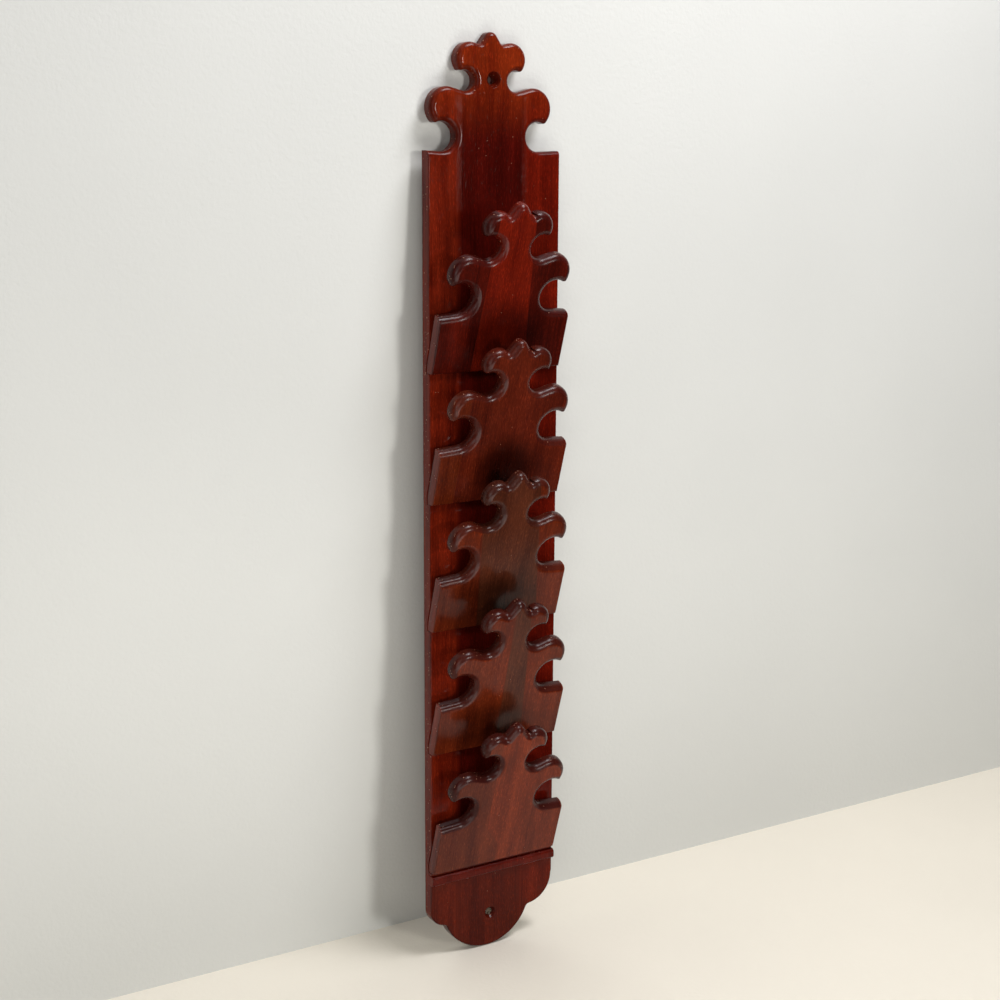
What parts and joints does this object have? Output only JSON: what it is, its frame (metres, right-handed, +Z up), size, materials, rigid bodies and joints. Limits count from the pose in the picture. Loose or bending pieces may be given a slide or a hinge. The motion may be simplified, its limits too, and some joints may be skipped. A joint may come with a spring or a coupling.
{
  "type": "wall mug rack",
  "caption": "Tall wall rack of dark lacquered wood: a backboard with a fretted crest and a row of fretted, forward-leaning plates whose hooked arms hold mugs by their handles.",
  "frame": {"origin": "middle of the back of the backboard, half way up it and half way across, on the face that lies against the wall", "axes": "+X to the right as seen from the front, +Y back into the wall, +Z up"},
  "size_m": [0.141, 0.0658, 0.891],
  "materials": {
    "board_wood": "red-brown stained straight-grained hardwood under gloss lacquer",
    "plate_wood": "red-brown stained hardwood under gloss lacquer, browner than the board",
    "batten_wood": "red stained hardwood under gloss lacquer",
    "screw_steel": "dull slotted steel wood screw"
  },
  "bodies": {
    "root": {"backboard": "board_wood", "plate_1": "plate_wood", "plate_2": "plate_wood", "plate_3": "plate_wood", "plate_4": "plate_wood", "plate_5": "plate_wood", "batten": "batten_wood", "plate_1_screw_right": "screw_steel", "plate_1_screw_left": "screw_steel", "plate_2_screw_right": "screw_steel", "plate_2_screw_left": "screw_steel", "plate_3_screw_right": "screw_steel", "plate_3_screw_left": "screw_steel", "plate_4_screw_right": "screw_steel", "plate_4_screw_left": "screw_steel", "plate_5_screw_right": "screw_steel", "plate_5_screw_left": "screw_steel", "batten_screw_right": "screw_steel", "batten_screw_left": "screw_steel", "lower_screw": "screw_steel"}
  },
  "joints": []
}
